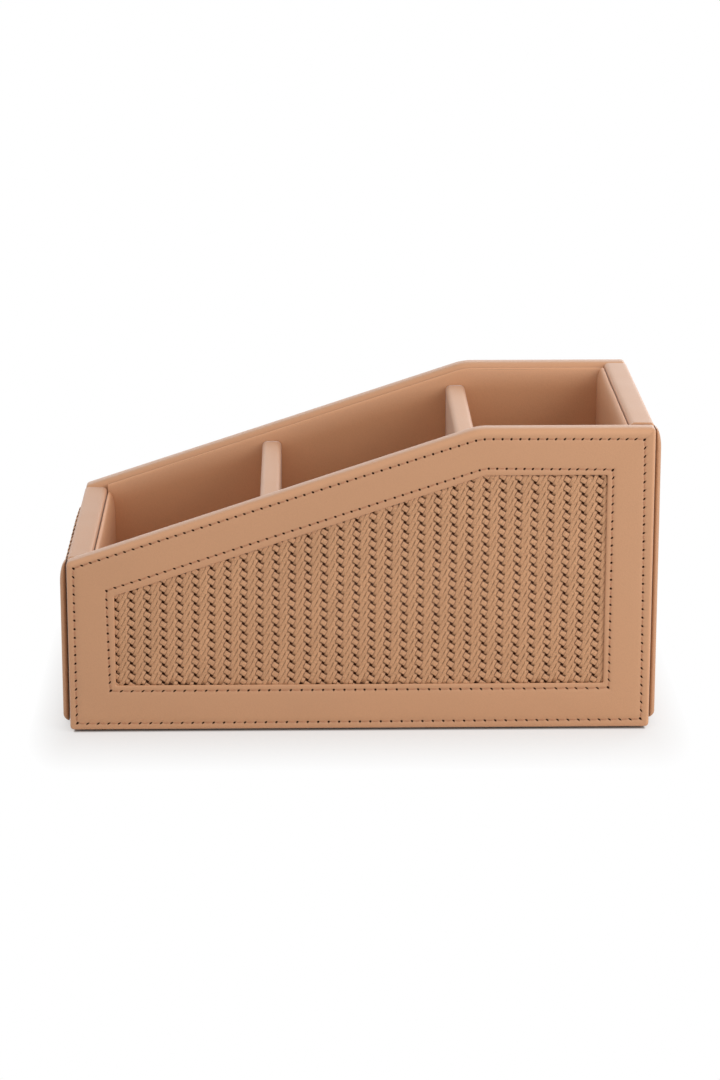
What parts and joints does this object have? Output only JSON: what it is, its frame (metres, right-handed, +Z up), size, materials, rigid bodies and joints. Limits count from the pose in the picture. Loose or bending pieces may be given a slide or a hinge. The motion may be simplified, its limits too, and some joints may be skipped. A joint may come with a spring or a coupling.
{
  "type": "remote control holder",
  "caption": "Desk holder for remote controls: a leather-wrapped box with a sloping rim, fixed dividers making open compartments, stitched frames and woven panels.",
  "frame": {"origin": "middle of the underside, on the table", "axes": "+X to the tall end, +Y to the back, +Z up"},
  "size_m": [0.281, 0.153, 0.146],
  "materials": {
    "board": "raw fibreboard, matt",
    "smooth_leather": "smooth tan leather, soft sheen",
    "woven_leather": "flat leather strips in a diagonal weave, fine grain",
    "lining_leather": "thin tan leather over padding, soft sheen",
    "card": "grey board",
    "foam": "thin open foam",
    "thread": "twisted thread, matt",
    "felt": "dark felt",
    "steel": "bright wire"
  },
  "bodies": {
    "root": {"front_board": "board", "back_board": "board", "left_board": "board", "right_board": "board", "base_board": "board", "left_divider_board": "board", "right_divider_board": "board", "front_frame_leather": "smooth_leather", "back_frame_leather": "smooth_leather", "left_rim_cap": "smooth_leather", "right_rim_cap": "smooth_leather", "left_cover_leather": "smooth_leather", "right_cover_leather": "smooth_leather", "front_woven_panel": "woven_leather", "back_woven_panel": "woven_leather", "left_woven_cover": "woven_leather", "right_woven_cover": "woven_leather", "front_lining_pad": "lining_leather", "back_lining_pad": "lining_leather", "left_lining_pad": "lining_leather", "right_lining_pad": "lining_leather", "floor_leather": "lining_leather", "left_divider_cover": "lining_leather", "right_divider_cover": "lining_leather", "front_lining_card": "card", "back_lining_card": "card", "left_lining_card": "card", "right_lining_card": "card", "floor_card": "card", "left_cover_foam": "foam", "right_cover_foam": "foam", "front_outer_stitches": "thread", "front_inner_stitches": "thread", "back_outer_stitches": "thread", "back_inner_stitches": "thread", "base_pad": "felt", "base_pins": "steel"}
  },
  "joints": []
}
